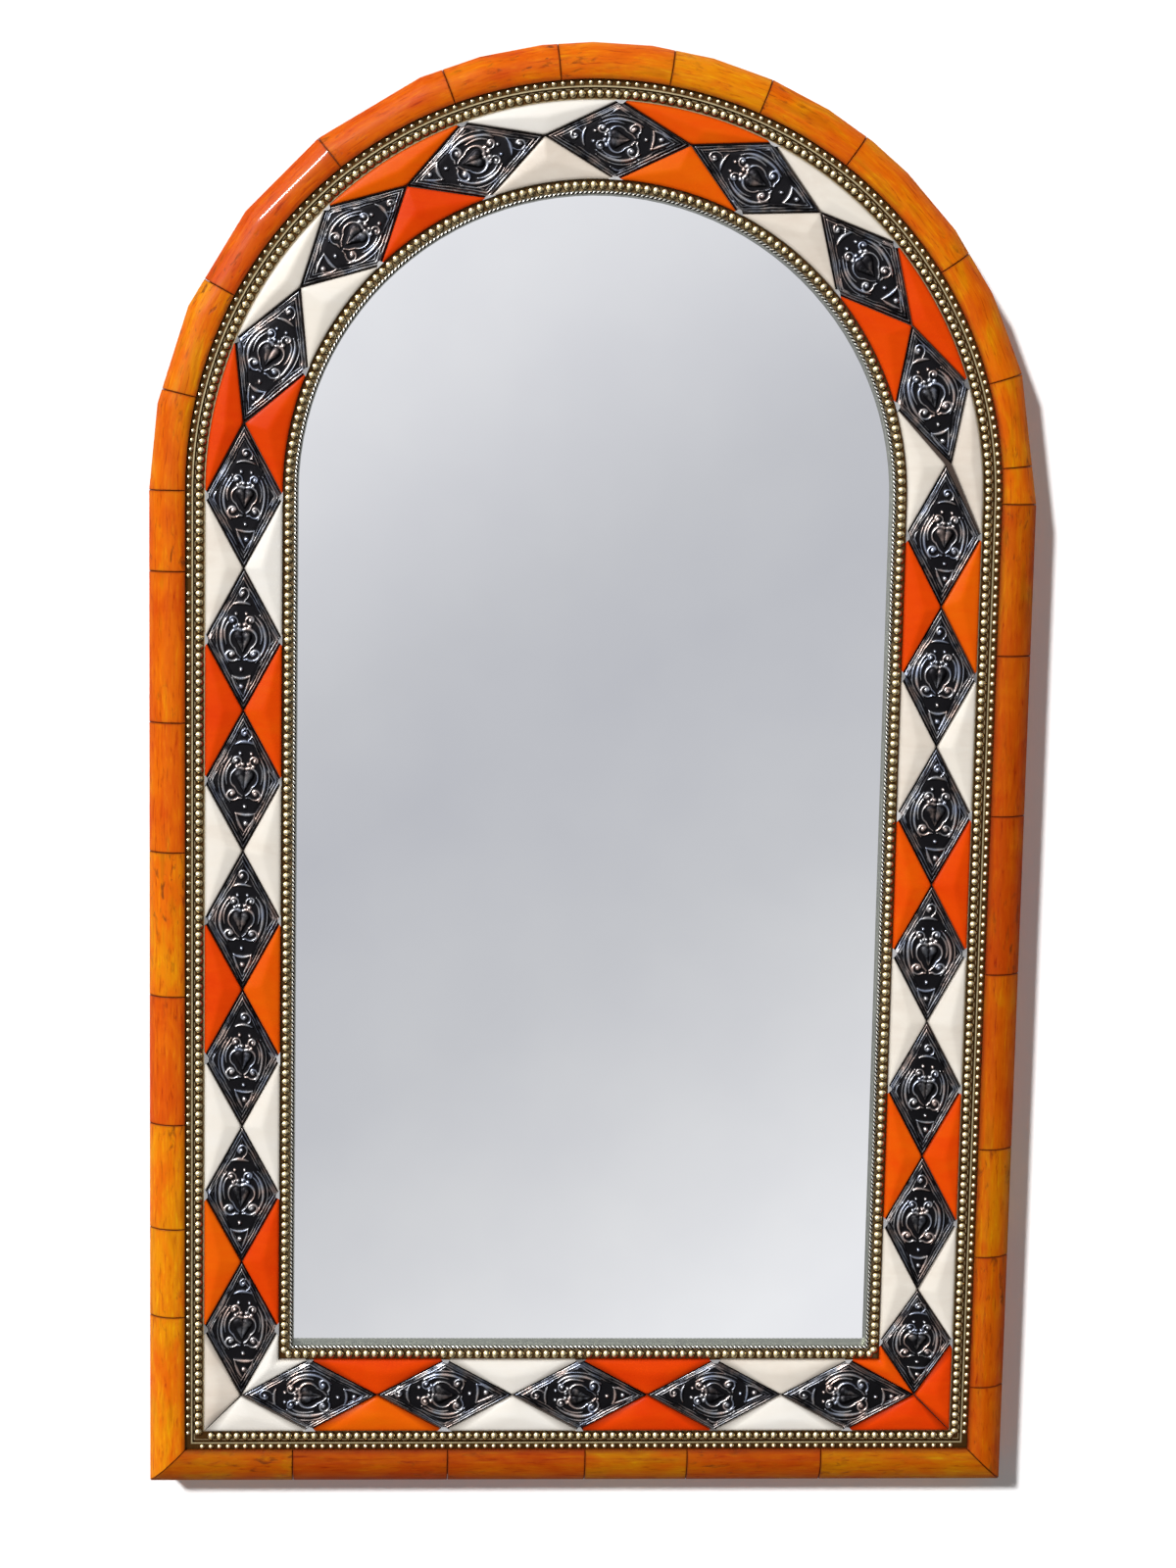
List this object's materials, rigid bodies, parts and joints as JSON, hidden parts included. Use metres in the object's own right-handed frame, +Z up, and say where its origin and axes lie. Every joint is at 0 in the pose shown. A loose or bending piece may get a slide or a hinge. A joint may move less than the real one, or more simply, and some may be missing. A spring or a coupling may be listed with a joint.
{
  "type": "wall mirror",
  "caption": "Arched wall mirror: rounded border of amber bone tiles, bead strips, a band of bone triangles and embossed metal rhombi, and two swinging hanging rings behind.",
  "frame": {"origin": "on the wall plane, midway between the two hooks that the hanging rings hang on", "axes": "+Z up the mirror, +Y into the wall, so the glass faces -Y; +X to the right as seen from the front"},
  "size_m": [0.488, 0.038, 0.8059],
  "materials": {
    "bone_amber": "gloss",
    "bone_ivory": "satin",
    "bone_orange": "satin",
    "nickel_silver": "polished",
    "brass_trim": "polished",
    "cedar": "matte",
    "plywood": "matte",
    "mirror_glass": "polished",
    "backing_card": "matte",
    "steel": "satin",
    "pad_rubber": "matte"
  },
  "bodies": {
    "mirror": {"ground_board": "plywood", "side_rail_left": "cedar", "side_rail_right": "cedar", "bottom_rail": "cedar", "arch_rail_left": "cedar", "arch_rail_right": "cedar", "rail_dowels": "plywood", "corner_screws": "steel", "back_board": "plywood", "back_board_pins": "steel", "mirror_glass": "mirror_glass", "glass_backing": "backing_card", "hanger_strap_left": "steel", "hanger_strap_right": "steel", "hanger_screws": "steel", "wall_pads": "pad_rubber", "border_bead_strip_arched": "brass_trim", "border_bead_strip_bottom": "brass_trim", "sight_bead_strip_arched": "brass_trim", "sight_bead_strip_bottom": "brass_trim", "rope_wire_arched": "brass_trim", "rope_wire_bottom": "brass_trim", "sight_lip_arched": "brass_trim", "sight_lip_bottom": "brass_trim", "border_tiles_left": "bone_amber", "border_tiles_arch": "bone_amber", "border_tiles_right": "bone_amber", "border_tiles_bottom": "bone_amber", "edge_tiles_arched": "bone_amber", "edge_tiles_foot": "bone_amber", "ivory_inlay": "bone_ivory", "orange_inlay": "bone_orange", "medallion_01": "nickel_silver", "medallion_02": "nickel_silver", "medallion_03": "nickel_silver", "medallion_04": "nickel_silver", "medallion_05": "nickel_silver", "medallion_06": "nickel_silver", "medallion_07": "nickel_silver", "medallion_08": "nickel_silver", "medallion_09": "nickel_silver", "medallion_10": "nickel_silver", "medallion_11": "nickel_silver", "medallion_12": "nickel_silver", "medallion_13": "nickel_silver", "medallion_14": "nickel_silver", "medallion_15": "nickel_silver", "medallion_16": "nickel_silver", "medallion_17": "nickel_silver", "medallion_18": "nickel_silver", "medallion_19": "nickel_silver", "medallion_20": "nickel_silver", "medallion_21": "nickel_silver", "medallion_22": "nickel_silver", "medallion_23": "nickel_silver", "medallion_24": "nickel_silver", "medallion_25": "nickel_silver", "medallion_26": "nickel_silver"},
    "hanger_ring_left": {"hanger_ring_left": "steel"},
    "hanger_ring_right": {"hanger_ring_right": "steel"}
  },
  "joints": [
    {"name": "ring_left_swing", "type": "hinge", "parent": "mirror", "child": "hanger_ring_left", "pos_m": [-0.23075, -0.0025, -0.011], "axis": [-1, 0, 0], "range_deg": [0, 176]},
    {"name": "ring_right_swing", "type": "hinge", "parent": "mirror", "child": "hanger_ring_right", "pos_m": [0.23075, -0.0025, -0.011], "axis": [-1, 0, 0], "range_deg": [0, 176]}
  ]
}
